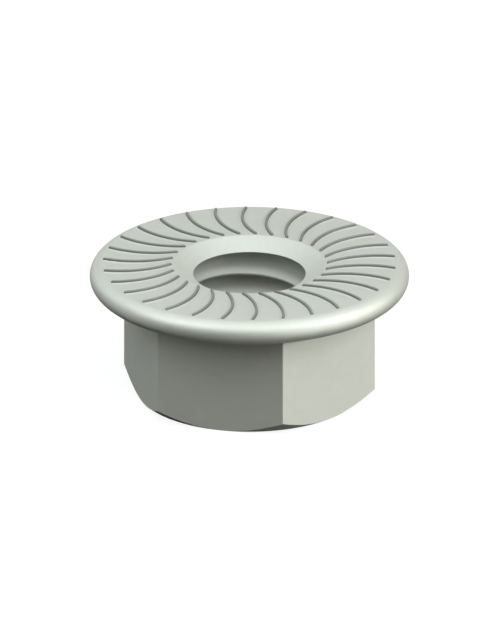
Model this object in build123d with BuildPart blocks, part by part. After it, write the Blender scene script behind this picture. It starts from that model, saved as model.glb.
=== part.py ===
"""Serrated hexagon flange nut, M6 x 1, made in one piece.

The nut stands on the end face of its hexagon, with its flange on top. +Z runs along the
thread, the origin is the centre of the end face, and two corners of the hexagon lie on
the X axis. Lengths are in millimetres and angles in degrees.
"""

import os
from math import acos, cos, degrees, radians, sin, tan

from build123d import *

# Thread: the bore is the thread's minor diameter, nominal diameter less one pitch.
thread_diameter = 6.0
thread_pitch = 1.0

# Both mouths of the bore are countersunk, wider than the thread by this much.
sink_allowance = 0.75
sink_angle = 126.0

# Hexagon, and the cone that takes its corners off at the end face. The cone's circle on
# that face lies just inside the flats, so that it trims the corners and not the flats.
across_flats = 10.0
end_circle_inset = 0.02
end_cone_rise = 38.0

# Whole height, from the end face to the bearing face, and the flange with its round edge.
nut_height = 6.0
flange_diameter = 14.2
flange_edge = 1.1
flange_slope = 20.0

# Locking ribs on the bearing face. Each one is an arc in plan, struck from a centre that
# lies near the flange's edge, and it stops short of the countersink and of the round edge.
rib_count = 30
rib_curve_radius = 3.46
rib_curve_centre = 6.27
rib_first_centre = 2.9
rib_foot_width = 0.17
rib_crest_width = 0.06
rib_height = 0.1
rib_root = 0.05
rib_inner_gap = 0.08
rib_outer_gap = 0.02

# Sizes that follow from the ones above.
bore_radius = (thread_diameter - thread_pitch) / 2
sink_radius = (thread_diameter + sink_allowance) / 2
sink_depth = (sink_radius - bore_radius) / tan(radians(sink_angle / 2))
corner_radius = across_flats / 2 / cos(radians(30))
end_circle_radius = across_flats / 2 - end_circle_inset
end_cone_height = (corner_radius - end_circle_radius) * tan(radians(end_cone_rise))
edge_radius = flange_edge / 2
face_radius = flange_diameter / 2 - edge_radius
edge_height = nut_height - edge_radius
rib_inner_radius = sink_radius + rib_inner_gap
rib_outer_radius = face_radius - rib_outer_gap


def rib_bearing(radius):
    """Direction, seen from the centre of a rib's arc, of the point of the arc that lies
    at this radius from the nut's axis. The arc's centre is taken to be on the X axis."""
    cosine = (rib_curve_centre**2 + rib_curve_radius**2 - radius**2) / (
        2 * rib_curve_centre * rib_curve_radius
    )
    return 180 - degrees(acos(cosine))


def rib_station(bearing):
    """Upright plane across a rib: its origin is on the rib's centre line at the bearing
    face, its X axis points away from the centre of the arc, and its Y axis points up."""
    outward = Vector(cos(radians(bearing)), sin(radians(bearing)), 0)
    origin = Vector(rib_curve_centre, 0, nut_height) + outward * rib_curve_radius
    return Plane(origin=origin, x_dir=outward, z_dir=outward.cross(Vector(0, 0, 1)))


rib_start = rib_bearing(rib_outer_radius)
rib_stop = rib_bearing(rib_inner_radius)

# One rib: a ridge with sloping sides, turned about the centre of its arc. Its root is
# buried in the flange, and its ends slope down past the bearing face into the root.
with BuildPart() as rib:
    with BuildSketch(rib_station(rib_start)):
        with BuildLine():
            Polyline(
                (-rib_foot_width / 2, -rib_root),
                (rib_foot_width / 2, -rib_root),
                (rib_foot_width / 2, 0),
                (rib_crest_width / 2, rib_height),
                (-rib_crest_width / 2, rib_height),
                (-rib_foot_width / 2, 0),
                close=True,
            )
        make_face()
    revolve(
        axis=Axis((rib_curve_centre, 0, 0), (0, 0, 1)),
        revolution_arc=rib_stop - rib_start,
    )
    for end_bearing, away in ((rib_start, 1), (rib_stop, -1)):
        end = rib_station(end_bearing)
        end_slope = Plane(
            origin=end.origin - end.y_dir * rib_root / 2,
            z_dir=end.z_dir * away + end.y_dir,
        )
        split(bisect_by=end_slope, keep=Keep.BOTTOM)

with BuildPart() as flange_nut:
    # Hexagonal body.
    with BuildSketch():
        RegularPolygon(radius=across_flats / 2, side_count=6, major_radius=False)
    extrude(amount=nut_height)

    # Cone over the corners at the end face.
    with BuildSketch(Plane.XZ):
        with BuildLine():
            Polyline(
                (0, 0),
                (end_circle_radius, 0),
                (corner_radius, end_cone_height),
                (corner_radius, nut_height),
                (0, nut_height),
                close=True,
            )
        make_face()
    revolve(axis=Axis.Z, mode=Mode.INTERSECT)

    # Flange: flat bearing face, round edge, and a cone that runs back into the hexagon.
    slope_start = (
        face_radius + edge_radius * sin(radians(flange_slope)),
        edge_height - edge_radius * cos(radians(flange_slope)),
    )
    slope_end = (
        bore_radius,
        slope_start[1] - (slope_start[0] - bore_radius) * tan(radians(flange_slope)),
    )
    with BuildSketch(Plane.XZ):
        with BuildLine():
            Line((0, nut_height), (face_radius, nut_height))
            ThreePointArc(
                (face_radius, nut_height),
                (face_radius + edge_radius, edge_height),
                slope_start,
            )
            Polyline(slope_start, slope_end, (0, slope_end[1]), (0, nut_height))
        make_face()
    revolve(axis=Axis.Z)

    # Locking ribs.
    with PolarLocations(0, rib_count, start_angle=rib_first_centre):
        add(rib.part)

    # Bore at the thread's minor diameter, countersunk at both ends.
    with BuildSketch(Plane.XZ):
        with BuildLine():
            Polyline(
                (0, 0),
                (sink_radius, 0),
                (bore_radius, sink_depth),
                (bore_radius, nut_height - sink_depth),
                (sink_radius, nut_height),
                (0, nut_height),
                close=True,
            )
        make_face()
    revolve(axis=Axis.Z, mode=Mode.SUBTRACT)

os.makedirs("parts", exist_ok=True)
flange_nut.part.label = "flange_nut"
export_step(flange_nut.part, "parts/flange_nut.step")
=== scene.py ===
"""Serrated hexagon flange nut, M6 x 1, one piece of zinc-plated steel.

The nut stands on the end face of its hexagon, with the ribbed bearing face of its flange on
top. Sizes are in millimetres and angles in degrees; a mesh is turned into metres as it is
made. The nut's skin is one closed surface in two parts: a section carried round the axis,
from the bore's upper mouth out over the flange, down the hexagon and in to the lower mouth,
and the thread, carried along its helix from the lower mouth back up to the upper one.
"""

from math import ceil, cos, radians, sin, tan

import bpy
import numpy as np
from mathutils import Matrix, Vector


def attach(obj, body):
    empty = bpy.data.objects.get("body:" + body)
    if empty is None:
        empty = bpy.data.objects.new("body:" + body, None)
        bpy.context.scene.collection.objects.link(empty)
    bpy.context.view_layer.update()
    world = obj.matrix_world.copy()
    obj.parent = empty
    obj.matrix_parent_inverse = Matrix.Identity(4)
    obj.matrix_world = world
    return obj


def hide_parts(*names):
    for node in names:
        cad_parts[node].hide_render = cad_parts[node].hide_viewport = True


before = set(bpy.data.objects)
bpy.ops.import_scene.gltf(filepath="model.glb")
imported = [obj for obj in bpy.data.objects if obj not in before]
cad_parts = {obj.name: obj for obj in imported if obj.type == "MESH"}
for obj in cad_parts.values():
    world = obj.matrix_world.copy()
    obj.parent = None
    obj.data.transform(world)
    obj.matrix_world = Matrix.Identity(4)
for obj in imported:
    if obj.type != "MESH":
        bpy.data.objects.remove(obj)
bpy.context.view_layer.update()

METRE = 0.001

# Thread, and the countersinks at both ends of the bore. The groove's flanks lie at the
# thread's flank angle to level, and its first middle is measured on the +X side. It runs
# out over a short climb below each mouth, and before that its flank starts at the mouth,
# until it settles to its own width over another short climb, a pitch inside.
THREAD_DIAMETER = 6.0
THREAD_PITCH = 1.0
THREAD_LAND = 0.06
THREAD_FLANK = 30.0
THREAD_RUN_OUT = 0.25
THREAD_SETTLE = 0.2
FIRST_GROOVE_HEIGHT = 0.72
SINK_ALLOWANCE = 0.75
SINK_ANGLE = 126.0

# Hexagon, with the cone over its corners at the end face.
ACROSS_FLATS = 10.0
CORNER_ROUNDING = 0.05
END_CIRCLE_INSET = 0.02
END_CONE_RISE = 38.0

# Flange: the whole height, the round edge, and the slope back to the hexagon.
NUT_HEIGHT = 6.0
FLANGE_DIAMETER = 14.2
FLANGE_EDGE = 1.1
FLANGE_SLOPE = 20.0
THROAT_REACH = 0.18

# Locking ribs on the bearing face.
RIB_COUNT = 30
RIB_CURVE_RADIUS = 3.46
RIB_CURVE_CENTRE = 6.27
RIB_FIRST_CENTRE = 2.9
RIB_FOOT_WIDTH = 0.14
RIB_CREST_WIDTH = 0.09
RIB_HEIGHT = 0.1
RIB_INNER_GAP = 0.08
RIB_OUTER_GAP = 0.02

# Columns of the surface, across each rib and in the gap before the next one, and round
# half of a corner of the hexagon.
COLUMNS_ON_RIB = 11
COLUMNS_IN_GAP = 5
CORNER_STEPS = 3

# Steps from row to row over each band of the skin, from the upper mouth to the lower one.
# At both ends of the ribs is a zone of the bearing face in which the rows lie close together.
UPPER_SINK_STEPS = 4
RIB_END_ZONE = 0.3
RIB_END_STEPS = 13
RIB_MIDDLE_STEPS = 24
ROUND_EDGE_STEPS = 20
SLOPE_STEPS = 4
THROAT_STEPS = 4
SIDE_STEPS = 4
CORNER_CONE_STEPS = 3
END_FACE_STEPS = 3
LOWER_SINK_STEPS = 3

# Rows over the round root of the thread's groove, and steps down each of its flanks.
ROOT_ROWS = 9
FLANK_STEPS = 3

# Zinc plating: the two tones it drifts between, and the darker tones of painted shade on the
# ribs' flanks and crests and in the bore.
ZINC_DEEPER = (0.575, 0.595, 0.545)
ZINC_PALER = (0.625, 0.645, 0.595)
RIB_FLANK_SHADE = (0.15, 0.155, 0.142)
RIB_CREST_SHADE = (0.28, 0.29, 0.266)
BORE_SHADE_TONE = (0.36, 0.37, 0.34)
METALLIC_SHARE = 0.6

# The flank's painted shade is full from the first of these shares of a rib's height, and the
# crest's lighter painted shade comes in above the second.
RIB_FLANK_FROM = 0.2
RIB_CREST_FROM = 0.8

# The whole bore is painted in shade and made rougher from the upper mouth down to the first of
# these depths, and from the second one down only the thread's groove is. Nothing outside the
# bore
# is: the painted shade and roughness come in over a margin inside each mouth, and go out
# between two distances from the thread's root.
MOUTH_SHADE_AND_DULL_TO = 0.3
MOUTH_UNSHADED_FROM = 0.6
MOUTH_MARGIN = 0.05
ROOT_MARGIN = 0.1
ROOT_MARGIN_END = 0.2

# Widths of the blotches of tone, of the patches of roughness and of the grain, the grain's
# height and strength, the range of the roughness, and how much rougher a dull place is.
BLOTCH_WIDTH = 0.7
PATCH_WIDTH = 0.3
GRAIN_WIDTH = 0.07
GRAIN_HEIGHT = 0.01
GRAIN_STRENGTH = 0.2
LEAST_ROUGHNESS = 0.5
MOST_ROUGHNESS = 0.6
DULL_ROUGHNESS = 0.35

# Studio: the floor, as a light table with a little tone of its own, and how far the
# softboxes stand from the nut.
FLOOR_HALF_WIDTH = 80.0
FLOOR_TONE = 0.15
FLOOR_GLOW = 0.88
FLOOR_ROUGHNESS = 0.9
SOFTBOX_DISTANCE = 90.0

# Camera: where it looks from, how near and far it sees, the height of its frame, in which
# a millimetre is 22.5 of 625 pixels, and what it aims at: a point this high on the nut's
# axis, and this far to the right of it.
VIEW_BEARING = 15.0
VIEW_ELEVATION = 22.5
VIEW_DISTANCE = 60.0
VIEW_NEAREST = 1.0
VIEW_FARTHEST = 1000.0
VIEW_TALL = 625 / 22.5
AIM_HEIGHT = 3.677
AIM_ASIDE = 0.027

# Sizes that follow from the ones above.
root_radius = THREAD_DIAMETER / 2
bore_radius = (THREAD_DIAMETER - THREAD_PITCH) / 2
sink_radius = (THREAD_DIAMETER + SINK_ALLOWANCE) / 2
sink_depth = (sink_radius - bore_radius) / tan(radians(SINK_ANGLE / 2))
half_groove = (THREAD_PITCH - THREAD_LAND) / 2
lower_mouth = sink_depth
upper_mouth = NUT_HEIGHT - sink_depth
flat_distance = ACROSS_FLATS / 2
end_circle_radius = flat_distance - END_CIRCLE_INSET
edge_radius = FLANGE_EDGE / 2
face_radius = FLANGE_DIAMETER / 2 - edge_radius
edge_height = NUT_HEIGHT - edge_radius
slope_radius = face_radius + edge_radius * sin(radians(FLANGE_SLOPE))
slope_height = edge_height - edge_radius * cos(radians(FLANGE_SLOPE))
columns_per_rib = COLUMNS_ON_RIB + COLUMNS_IN_GAP
column_count = RIB_COUNT * columns_per_rib
column_step = 360 / column_count
rib_spacing = 360 / RIB_COUNT


# Curves, and the section round the axis.


def between(start, end, share):
    """The value that lies this share of the way from start to end."""
    return start + (end - start) * share


def smooth_step(share):
    """0 up to a share of 0, 1 from a share of 1, and between them three times the share's
    square less twice its cube."""
    share = np.clip(share, 0, 1)
    return share * share * (3 - 2 * share)


def shares(steps):
    """Even shares of the way after the start, up to and with the end, as a column."""
    return np.arange(1, steps + 1)[:, None] / steps


def points_at(radius, angle, height):
    """Points at these distances from the nut's axis, angles round it and heights."""
    radius, angle, height = np.broadcast_arrays(radius, np.radians(angle), height)
    return np.stack([radius * np.cos(angle), radius * np.sin(angle), height], axis=-1)


def rib_angle(radius, offset):
    """Angle at the nut's axis from a rib's centre of curvature to the point, at this
    radius, of the arc that runs this far outside the rib's middle line. It is the law of
    cosines in the triangle of axis, centre and point."""
    arc = RIB_CURVE_RADIUS + offset
    cosine = (radius**2 + RIB_CURVE_CENTRE**2 - arc**2) / (2 * radius * RIB_CURVE_CENTRE)
    return np.degrees(np.arccos(cosine))


def rib_bearing(radius):
    """Angle at a rib's centre of curvature from the nut's axis to the point, at this
    radius, of the rib's middle line, in radians. It is the law of cosines again."""
    squares = RIB_CURVE_CENTRE**2 + RIB_CURVE_RADIUS**2 - radius**2
    return np.arccos(squares / (2 * RIB_CURVE_CENTRE * RIB_CURVE_RADIUS))


def rib_columns(radius):
    """Angles of all columns at each of these radii. On a rib they follow arcs beside its
    middle line: one on it, and the others spaced evenly over each flank. The rest divide
    the gap to the next rib evenly. Every rib repeats the first, turned by its share of a
    full turn."""
    radius = np.reshape(radius, (-1, 1))
    flank = np.linspace(RIB_CREST_WIDTH / 2, RIB_FOOT_WIDTH / 2, COLUMNS_ON_RIB // 2)
    offsets = np.concatenate([-flank[::-1], [0], flank])
    on_rib = rib_angle(radius, offsets)
    gap_shares = np.arange(1, COLUMNS_IN_GAP + 1) / (COLUMNS_IN_GAP + 1)
    in_gap = between(on_rib[:, -1:], on_rib[:, :1] + rib_spacing, gap_shares)
    first_rib = np.concatenate([on_rib, in_gap], axis=1) + RIB_FIRST_CENTRE
    turns = rib_spacing * np.arange(RIB_COUNT)[:, None]
    return (first_rib[:, None, :] + turns).reshape(len(radius), column_count)


def rib_rise(radius, angle):
    """Height of the ribs over the bearing face. It depends on the distance from a rib's
    spine, the arc that ends half a foot's width short of the rib's own ends: a smooth step
    from the full height at the crest's edge to none at the foot's. So a rib's ends are as
    steep as its sides."""
    rib = np.arange(column_count) // columns_per_rib
    turned = np.radians(angle - RIB_FIRST_CENTRE - rib_spacing * rib)
    inward = RIB_CURVE_CENTRE - radius * np.cos(turned)
    aside = radius * np.sin(turned)
    bearing = np.arctan2(aside, inward)
    half_foot = RIB_FOOT_WIDTH / 2
    cap = half_foot / RIB_CURVE_RADIUS
    spine_start = rib_bearing(sink_radius + RIB_INNER_GAP) + cap
    spine_end = rib_bearing(face_radius - RIB_OUTER_GAP) - cap
    beyond = np.maximum(np.maximum(spine_start - bearing, bearing - spine_end), 0)
    across = np.hypot(inward, aside) - RIB_CURVE_RADIUS
    distance = np.hypot(across, beyond * RIB_CURVE_RADIUS)
    flank_width = half_foot - RIB_CREST_WIDTH / 2
    return RIB_HEIGHT * smooth_step((half_foot - distance) / flank_width)


def even_columns():
    """Angles of the columns where they are spaced evenly, on the bore and its mouths. They
    are turned to lie, on average, under the columns at the upper countersink's edge."""
    even = column_step * np.arange(column_count)
    return even + np.mean(rib_columns(sink_radius)[0] - even)


def hexagon_columns():
    """Radius and angle of each column on the hexagon. A side runs from the middle of one
    rounded corner to the middle of the next: a sixth of a turn of two small arcs, with the
    straight flat divided evenly between them. The sides repeat, a sixth of a turn apart,
    and the numbering starts at the column that lies under the first one of the ribs."""
    per_side = column_count // 6
    corner_centre = (flat_distance - CORNER_ROUNDING) / cos(radians(30))
    leans = np.radians(np.linspace(0, 60, 2 * CORNER_STEPS + 1))
    arc = CORNER_ROUNDING * np.exp(1j * leans)
    first_arc = corner_centre + arc[: CORNER_STEPS + 1]
    second_arc = corner_centre * np.exp(1j * radians(60)) + arc[CORNER_STEPS:]
    flat_shares = np.linspace(0, 1, per_side - 2 * CORNER_STEPS + 1)
    flat = between(first_arc[-1], second_arc[0], flat_shares)
    side = np.concatenate([first_arc[:-1], flat, second_arc[1:-1]])
    first_column = round(rib_columns(face_radius)[0, 0] / column_step)
    place = first_column + np.arange(column_count)
    radius = np.abs(side)[place % per_side]
    angle = np.degrees(np.angle(side))[place % per_side] + 60 * (place // per_side)
    return radius, angle


def slope_at(radius):
    """Height of the flange's underside, a cone that falls towards the hexagon."""
    return slope_height - (slope_radius - radius) * tan(radians(FLANGE_SLOPE))


def outer_skin():
    """The section carried round the axis, as rows of points from the bore's upper mouth to
    its lower one, and which of the rows are crisp edges."""
    even = even_columns()
    at_sink = rib_columns(sink_radius)
    at_rim = rib_columns(face_radius)
    hex_radius, hex_angle = hexagon_columns()

    # Upper countersink, from the mouth outwards, without its outer edge.
    out = np.linspace(0, 1, UPPER_SINK_STEPS + 1)[:-1, None]
    upper_sink = points_at(
        between(bore_radius, sink_radius, out),
        between(even, at_sink, out),
        between(upper_mouth, NUT_HEIGHT, out),
    )

    # Bearing face, with rows close together at the ends of the ribs.
    inner_zone = sink_radius + RIB_END_ZONE
    outer_zone = face_radius - RIB_END_ZONE
    radii = np.concatenate(
        [
            np.linspace(sink_radius, inner_zone, RIB_END_STEPS + 1),
            np.linspace(inner_zone, outer_zone, RIB_MIDDLE_STEPS + 1)[1:-1],
            np.linspace(outer_zone, face_radius, RIB_END_STEPS + 1),
        ]
    )[:, None]
    angles = rib_columns(radii)
    bearing_face = points_at(radii, angles, NUT_HEIGHT + rib_rise(radii, angles))

    # Round edge: the normal leans from straight up to the slope's own normal.
    lean = np.radians(between(90, FLANGE_SLOPE - 90, shares(ROUND_EDGE_STEPS)))
    round_edge = points_at(
        face_radius + edge_radius * np.cos(lean),
        at_rim,
        edge_height + edge_radius * np.sin(lean),
    )

    # Slope back to the hexagon, and the throat, a quadratic blend from the slope to the
    # wall about the line where the two would meet.
    corner_height = slope_at(hex_radius)
    blend_radius = hex_radius + THROAT_REACH * cos(radians(FLANGE_SLOPE))
    down = shares(SLOPE_STEPS)
    slope_radii = between(slope_radius, blend_radius, down)
    slope = points_at(slope_radii, between(at_rim, hex_angle, down), slope_at(slope_radii))
    bend = shares(THROAT_STEPS)
    throat = points_at(
        (1 - bend) ** 2 * blend_radius + (1 - (1 - bend) ** 2) * hex_radius,
        hex_angle,
        (1 - bend) ** 2 * slope_at(blend_radius)
        + 2 * bend * (1 - bend) * corner_height
        + bend**2 * (corner_height - THROAT_REACH),
    )

    # Hexagon's sides, down to the cone over its corners, the cone, and the end face.
    cone_height = (hex_radius - end_circle_radius) * tan(radians(END_CONE_RISE))
    down = shares(SIDE_STEPS)
    throat_foot = corner_height - THROAT_REACH
    sides = points_at(hex_radius, hex_angle, between(throat_foot, cone_height, down))
    down = shares(CORNER_CONE_STEPS)
    corner_cone = points_at(
        between(hex_radius, end_circle_radius, down),
        hex_angle,
        between(cone_height, 0, down),
    )
    inward = shares(END_FACE_STEPS)
    end_face = points_at(
        between(end_circle_radius, sink_radius, inward),
        between(hex_angle, even, inward),
        0,
    )

    # Lower countersink, in to the lower mouth.
    inward = shares(LOWER_SINK_STEPS)
    lower_sink = points_at(
        between(sink_radius, bore_radius, inward),
        even,
        between(0, lower_mouth, inward),
    )

    # The upper mouth, the upper countersink's outer edge and the last row of each band from
    # the sides on are crisp.
    smooth_bands = [upper_sink, bearing_face, round_edge, slope, throat]
    bands = smooth_bands + [sides, corner_cone, end_face, lower_sink]
    last_rows = np.cumsum([len(band) for band in bands]) - 1
    crisp = np.zeros(last_rows[-1] + 1, bool)
    crisp[[0, len(upper_sink), *last_rows[len(smooth_bands) :]]] = True
    return np.concatenate(bands), crisp


# The thread.


def groove_section():
    """Heights of the rows of one groove above its middle, and the groove's depth at them.
    Two straight flanks run in from the land's edges, and an arc that touches them both
    rounds the root. The arc's radius is how much deeper than the root the two flanks would
    meet, divided by one less than the inverse of the sine of the flank's angle."""
    flank = radians(THREAD_FLANK)
    sharp_depth = half_groove / tan(flank)
    depth = root_radius - bore_radius
    rounding = (sharp_depth - depth) / (1 / sin(flank) - 1)
    leans = np.linspace(-1, 1, ROOT_ROWS) * (radians(90) - flank)
    root_heights = rounding * np.sin(leans)
    root_depths = depth - rounding * (1 - np.cos(leans))
    flank_heights = between(half_groove, root_heights[-1], np.arange(FLANK_STEPS) / FLANK_STEPS)
    flank_depths = (half_groove - flank_heights) / tan(flank)
    heights = np.concatenate([-flank_heights, root_heights, flank_heights[::-1]])
    depths = np.concatenate([flank_depths, root_depths, flank_depths[::-1]])
    return heights, depths


def thread_skin():
    """Rows of points along the helix, as many below and above each other as it takes to
    fill the bore at every angle. A right-hand thread climbs one pitch in a full turn. The
    halves of a groove above and below its middle are stretched to meet the lands, which the
    mouths shift, and the groove runs out by a smooth step where its middle nears a mouth.
    Also gives the number of rows in a pitch, and which of them are a land's edges."""
    even = even_columns()
    heights, depths = groove_section()
    turns_below = 2
    turns = turns_below + ceil((upper_mouth - lower_mouth) / THREAD_PITCH) + 1
    lowest = FIRST_GROOVE_HEIGHT - turns_below * THREAD_PITCH
    starts = lowest + THREAD_PITCH * np.arange(turns)[:, None]
    middle = np.repeat(starts, len(heights), axis=0) + THREAD_PITCH * even / 360
    share = np.tile(heights, turns)[:, None] / half_groove
    above = half_groove + land_shift(middle)
    below = half_groove - land_shift(middle - THREAD_PITCH)
    height = middle + np.where(share > 0, above, below) * share
    run_out = smooth_step(inside_mouths(middle) / THREAD_RUN_OUT)
    depth = np.tile(depths, turns)[:, None] * run_out
    crisp = np.zeros(len(heights), bool)
    crisp[[0, -1]] = True
    return points_at(bore_radius + depth, even, height), len(heights), crisp


def flank_reach(inside):
    """Height of the half of a groove that lies towards a mouth, where the groove's middle
    is this far inside that mouth. It is all of that distance, so that the flank starts at
    the mouth, up to nearly a pitch inside, and half the groove's width from a pitch on,
    with a smooth step between the two."""
    share = smooth_step((THREAD_PITCH - inside) / THREAD_SETTLE)
    return between(half_groove, np.maximum(inside, 0), share)


def land_shift(middle):
    """How far up the mouths shift the land above the groove whose middle is this high."""
    from_upper = flank_reach(upper_mouth - middle)
    from_lower = flank_reach(middle + THREAD_PITCH - lower_mouth)
    return from_upper - from_lower


def inside_mouths(height):
    """How far inside the nearer mouth of the bore a height is."""
    return np.minimum(height - lower_mouth, upper_mouth - height)


# Meshes.


def faces_between(rows, next_columns):
    """Four-sided faces of a grid of vertex numbers, each from a vertex up its column,
    across to the next column and back down. Where two of its corners are one vertex, a
    face is a triangle, or nothing."""
    corners = np.stack([rows[:-1], rows[1:], next_columns[1:], next_columns[:-1]], axis=-1)
    corners = corners.reshape(-1, 4)
    whole = has_separate_corners(corners)
    split = corners[~whole]
    triangles = np.concatenate([split[:, [0, 1, 2]], split[:, [0, 2, 3]]])
    return corners[whole], triangles[has_separate_corners(triangles)]


def has_separate_corners(faces):
    """Whether no two corners of a face are the same vertex."""
    ordered = np.sort(faces, axis=1)
    return np.all(ordered[:, 1:] != ordered[:, :-1], axis=1)


def nut_surface():
    """The nut's whole skin: its points, its faces, and a mark for each point. The thread's
    rows end at the mouths: a point at or beyond a mouth is the mouth's own vertex in the
    same column. After a full turn, a row of the thread goes on as the row one pitch
    higher. A crisp edge joins two points with the same mark, unless the mark is 0."""
    skin, skin_crisp = outer_skin()
    thread, rows_per_pitch, thread_crisp = thread_skin()
    skin_rows = np.arange(len(skin) * column_count).reshape(-1, column_count)
    thread_rows = skin_rows.size + np.arange(len(thread) * column_count)
    thread_rows = thread_rows.reshape(-1, column_count)
    nearly = THREAD_PITCH / 100
    above = thread[..., 2] > upper_mouth - nearly
    below = thread[..., 2] < lower_mouth + nearly
    thread_rows = np.where(above, skin_rows[0], thread_rows)
    thread_rows = np.where(below, skin_rows[-1], thread_rows)
    one_pitch_up = np.roll(thread_rows[:, 0], -rows_per_pitch)
    one_pitch_up[-rows_per_pitch:] = skin_rows[0, 0]
    thread_next = np.column_stack([thread_rows[:, 1:], one_pitch_up])
    skin_quads, skin_triangles = faces_between(skin_rows, np.roll(skin_rows, -1, axis=1))
    thread_quads, thread_triangles = faces_between(thread_rows, thread_next)

    skin_marks = np.where(skin_crisp, 1 + np.arange(len(skin)), 0)
    thread_marks = np.where(thread_crisp, 1 + len(skin) + np.arange(rows_per_pitch), 0)
    thread_marks = np.tile(thread_marks, len(thread) // rows_per_pitch)
    marks = np.repeat(np.concatenate([skin_marks, thread_marks]), column_count)

    points = np.concatenate([skin.reshape(-1, 3), thread.reshape(-1, 3)])
    used = np.concatenate([np.ones(skin_rows.size, bool), ~(above | below).ravel()])
    number = np.cumsum(used) - 1
    quads = number[np.concatenate([skin_quads, thread_quads])]
    triangles = number[np.concatenate([skin_triangles, thread_triangles])]
    return points[used], quads.tolist() + triangles.tolist(), marks[used]


def flange_nut(material):
    """The nut's mesh in metres, shaded smooth but for its crisp edges."""
    points, faces, marks = nut_surface()
    mesh = bpy.data.meshes.new("nut")
    mesh.from_pydata(points * METRE, [], faces)
    mesh.shade_smooth()
    ends = np.empty(2 * len(mesh.edges), np.int32)
    mesh.edges.foreach_get("vertices", ends)
    ends = marks[ends.reshape(-1, 2)]
    mesh.edges.foreach_set("use_edge_sharp", (ends[:, 0] == ends[:, 1]) & (ends[:, 0] > 0))
    mesh.materials.append(material)
    nut = bpy.data.objects.new("nut", mesh)
    bpy.context.scene.collection.objects.link(nut)
    return nut


# Materials.


class Finish:
    """A procedural material: makes its nodes and joins them to its principled shader. Its
    patterns are laid out on the nut's own coordinates, in millimetres."""

    def __init__(self, name):
        self.material = bpy.data.materials.new(name)
        self.material.use_nodes = True
        self.tree = self.material.node_tree
        self.shader = self.tree.nodes["Principled BSDF"]
        place = self.tree.nodes.new("ShaderNodeTexCoord")
        scaled = self.node("ShaderNodeMapping", Scale=(1 / METRE,) * 3)
        self.join(place.outputs["Object"], scaled.inputs["Vector"])
        self.place = scaled.outputs["Vector"]

    def join(self, output, socket):
        self.tree.links.new(output, socket)

    def node(self, kind, **values):
        """A new node with these values on its sockets; in a name, _ stands for a space."""
        made = self.tree.nodes.new(kind)
        for name, value in values.items():
            made.inputs[name.replace("_", " ")].default_value = value
        return made

    def set(self, **values):
        """Sets the shader's own sockets."""
        for name, value in values.items():
            self.shader.inputs[name.replace("_", " ")].default_value = value

    def noise(self, size, detail, roughness=0.5):
        """Cloudy noise from 0 to 1, whose blotches are about this many millimetres wide."""
        made = self.node(
            "ShaderNodeTexNoise", Scale=1 / size, Detail=detail, Roughness=roughness
        )
        self.join(self.place, made.inputs["Vector"])
        return made.outputs["Fac"]

    def ramp(self, value, low, high, start=0.0, end=1.0):
        """A smooth step from start, where the value is low, to end, where it is high."""
        made = self.node(
            "ShaderNodeMapRange", From_Min=low, From_Max=high, To_Min=start, To_Max=end
        )
        made.interpolation_type = "SMOOTHSTEP"
        self.join(value, made.inputs["Value"])
        return made.outputs["Result"]

    def combine(self, operation, first, second):
        """The arithmetic of two values, such as their product."""
        made = self.tree.nodes.new("ShaderNodeMath")
        made.operation = operation
        self.join(first, made.inputs[0])
        self.join(second, made.inputs[1])
        return made.outputs["Value"]

    def blend(self, share, first, second):
        """The first colour where the share is 0, the second where it is 1. A colour is
        three numbers or another node's output."""
        made = self.tree.nodes.new("ShaderNodeMix")
        made.data_type = "RGBA"
        self.join(share, made.inputs["Factor"])
        for socket, colour in ((made.inputs[6], first), (made.inputs[7], second)):
            if isinstance(colour, tuple):
                socket.default_value = (*colour, 1)
            else:
                self.join(colour, socket)
        return made.outputs[2]


def distance_from_axis(finish):
    """How far each place of the nut lies from the thread's axis."""
    level = finish.node("ShaderNodeVectorMath")
    level.operation = "MULTIPLY"
    finish.join(finish.place, level.inputs[0])
    level.inputs[1].default_value = (1, 1, 0)
    distance = finish.node("ShaderNodeVectorMath")
    distance.operation = "LENGTH"
    finish.join(level.outputs["Vector"], distance.inputs[0])
    return distance.outputs["Value"]


def shade_and_dull_share(finish, height):
    """How much painted shade darkens the plating and how much rougher it is: the larger of how
    deep a place lies in the thread's groove and how near it is to the upper mouth, and nothing
    outside the bore."""
    from_axis = distance_from_axis(finish)
    in_groove = finish.ramp(from_axis, bore_radius, root_radius)
    at_mouth = finish.ramp(height, upper_mouth - MOUTH_UNSHADED_FROM, upper_mouth - MOUTH_SHADE_AND_DULL_TO)
    shade_and_dull = finish.combine("MAXIMUM", in_groove, at_mouth)
    below_mouth = finish.ramp(height, upper_mouth, upper_mouth - MOUTH_MARGIN)
    above_mouth = finish.ramp(height, lower_mouth, lower_mouth + MOUTH_MARGIN)
    inside = finish.combine("MULTIPLY", below_mouth, above_mouth)
    near_axis = finish.ramp(from_axis, root_radius + ROOT_MARGIN_END, root_radius + ROOT_MARGIN)
    inside = finish.combine("MULTIPLY", inside, near_axis)
    return finish.combine("MULTIPLY", shade_and_dull, inside)


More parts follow.
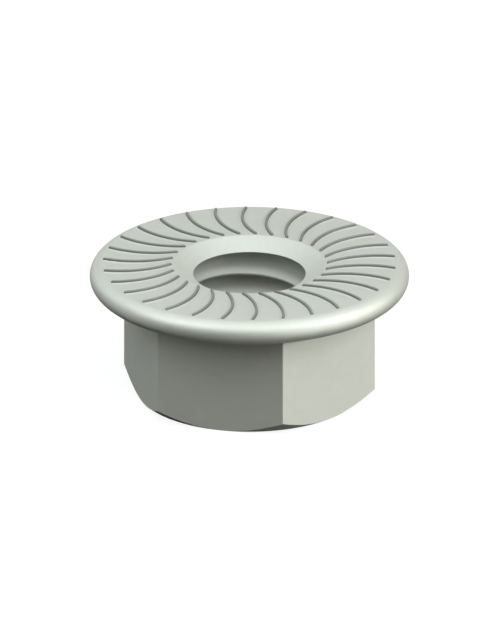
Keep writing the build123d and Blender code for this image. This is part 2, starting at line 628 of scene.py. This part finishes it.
def satin_zinc():
    """Satin zinc plating. Its tone and roughness drift a little over the surface and a fine
    grain stands up from it. The ribs are darkened with painted shade, a little less on their
    crests. The thread's groove and the bore just inside the upper mouth are darkened with
    painted shade and made rougher."""
    finish = Finish("satin_zinc")
    apart = finish.node("ShaderNodeSeparateXYZ")
    finish.join(finish.place, apart.inputs["Vector"])
    height = apart.outputs["Z"]

    blotches = finish.noise(BLOTCH_WIDTH, detail=5.0, roughness=0.6)
    tone = finish.blend(blotches, ZINC_DEEPER, ZINC_PALER)
    # Painted shade: the ribs' flanks are darkened, their crests a little less.
    flank_height = NUT_HEIGHT + RIB_FLANK_FROM * RIB_HEIGHT
    on_rib = finish.ramp(height, NUT_HEIGHT, flank_height)
    tone = finish.blend(on_rib, tone, RIB_FLANK_SHADE)
    crest_height = NUT_HEIGHT + RIB_CREST_FROM * RIB_HEIGHT
    rib_crest_shade = finish.ramp(height, crest_height, NUT_HEIGHT + RIB_HEIGHT)
    tone = finish.blend(rib_crest_shade, tone, RIB_CREST_SHADE)
    # Painted shade in the thread's groove and just inside the upper mouth, which are also made
    # rougher below.
    shade_and_dull = shade_and_dull_share(finish, height)
    tone = finish.blend(shade_and_dull, tone, BORE_SHADE_TONE)
    finish.join(tone, finish.shader.inputs["Base Color"])

    patches = finish.noise(PATCH_WIDTH, detail=3.0)
    roughness = finish.ramp(patches, 0.0, 1.0, LEAST_ROUGHNESS, MOST_ROUGHNESS)
    rougher = finish.ramp(shade_and_dull, 0.0, 1.0, 0.0, DULL_ROUGHNESS)
    roughness = finish.combine("ADD", roughness, rougher)
    finish.join(roughness, finish.shader.inputs["Roughness"])

    relief = finish.node(
        "ShaderNodeBump", Strength=GRAIN_STRENGTH, Distance=GRAIN_HEIGHT * METRE
    )
    finish.join(finish.noise(GRAIN_WIDTH, detail=2.0), relief.inputs["Height"])
    finish.join(relief.outputs["Normal"], finish.shader.inputs["Normal"])
    finish.set(Metallic=METALLIC_SHARE)
    return finish.material


def studio_floor():
    """A white light table: plain, matt, and lit from within, so that shadows are faint."""
    material = bpy.data.materials.new("studio_floor")
    material.use_nodes = True
    shader = material.node_tree.nodes["Principled BSDF"]
    shader.inputs["Base Color"].default_value = (FLOOR_TONE, FLOOR_TONE, FLOOR_TONE, 1)
    shader.inputs["Roughness"].default_value = FLOOR_ROUGHNESS
    shader.inputs["Specular IOR Level"].default_value = 0.0
    shader.inputs["Emission Color"].default_value = (1, 1, 1, 1)
    shader.inputs["Emission Strength"].default_value = FLOOR_GLOW
    return material


# Studio.


def direction(bearing, elevation):
    """Unit vector towards a bearing round the nut, from -Y towards +X, and an elevation."""
    a, e = radians(bearing), radians(elevation)
    return Vector((sin(a) * cos(e), -cos(a) * cos(e), sin(e)))


def softbox(name, bearing, elevation, size, power, colour):
    """A square soft light of this size, in millimetres, and power, in watts, that faces the
    nut from this bearing and elevation."""
    lamp = bpy.data.lights.new(name, "AREA")
    lamp.shape = "SQUARE"
    lamp.size = size * METRE
    lamp.energy = power
    lamp.color = colour
    light = bpy.data.objects.new(name, lamp)
    towards = direction(bearing, elevation)
    light.location = towards * SOFTBOX_DISTANCE * METRE
    light.rotation_mode = "QUATERNION"
    light.rotation_quaternion = towards.to_track_quat("Z", "Y")
    bpy.context.scene.collection.objects.link(light)


def floor():
    """A wide square under the nut. Its light isn't thrown back at the nut."""
    half = FLOOR_HALF_WIDTH * METRE
    mesh = bpy.data.meshes.new("floor")
    mesh.from_pydata(
        [(-half, -half, 0), (half, -half, 0), (half, half, 0), (-half, half, 0)],
        [],
        [(0, 1, 2, 3)],
    )
    mesh.materials.append(studio_floor())
    plane = bpy.data.objects.new("floor", mesh)
    plane.visible_diffuse = False
    plane.visible_glossy = False
    plane.visible_shadow = False
    bpy.context.scene.collection.objects.link(plane)


def camera():
    """A camera without perspective. It stands off from the point it aims at, in the
    direction of its bearing and elevation."""
    data = bpy.data.cameras.new("camera")
    data.type = "ORTHO"
    data.ortho_scale = VIEW_TALL * METRE
    data.clip_start = VIEW_NEAREST * METRE
    data.clip_end = VIEW_FARTHEST * METRE
    eye = bpy.data.objects.new("camera", data)
    towards = direction(VIEW_BEARING, VIEW_ELEVATION)
    aside = Vector((0, 0, 1)).cross(towards).normalized()
    aim = Vector((0, 0, AIM_HEIGHT)) + aside * AIM_ASIDE
    eye.location = (aim + towards * VIEW_DISTANCE) * METRE
    eye.rotation_mode = "QUATERNION"
    eye.rotation_quaternion = towards.to_track_quat("Z", "Y")
    bpy.context.scene.collection.objects.link(eye)
    bpy.context.scene.camera = eye


def surroundings():
    """White where the camera looks past the floor; all light comes from the softboxes."""
    world = bpy.data.worlds.new("studio")
    world.use_nodes = True
    background = world.node_tree.nodes["Background"]
    seen = world.node_tree.nodes.new("ShaderNodeLightPath")
    world.node_tree.links.new(seen.outputs["Is Camera Ray"], background.inputs["Strength"])
    background.inputs["Color"].default_value = (1, 1, 1, 1)
    bpy.context.scene.world = world


nut = flange_nut(satin_zinc())
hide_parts("flange_nut")
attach(nut, "root")

floor()
surroundings()
softbox("overhead", 15, 90, 140, 0.073, (0.93, 1.0, 1.0))
softbox("front", 15, 45, 60, 0.018, (1.0, 0.94, 0.82))
softbox("front_left", -45, 40, 60, 0.037, (0.9, 0.95, 1.0))
softbox("front_right", 75, 40, 60, 0.02, (0.7, 0.78, 1.0))
softbox("low_right", 75, 10, 140, 0.094, (1.0, 1.0, 0.94))
softbox("low_left", -75, -10, 60, 0.0065, (1.0, 0.98, 0.83))
softbox("right", 105, 25, 60, 0.02, (1.0, 0.96, 0.8))
softbox("back_left", 255, 25, 60, 0.0145, (0.86, 0.99, 1.0))
softbox("back", 195, 10, 140, 0.031, (1.0, 0.9, 0.84))
camera()
bpy.context.scene.view_settings.view_transform = "Standard"
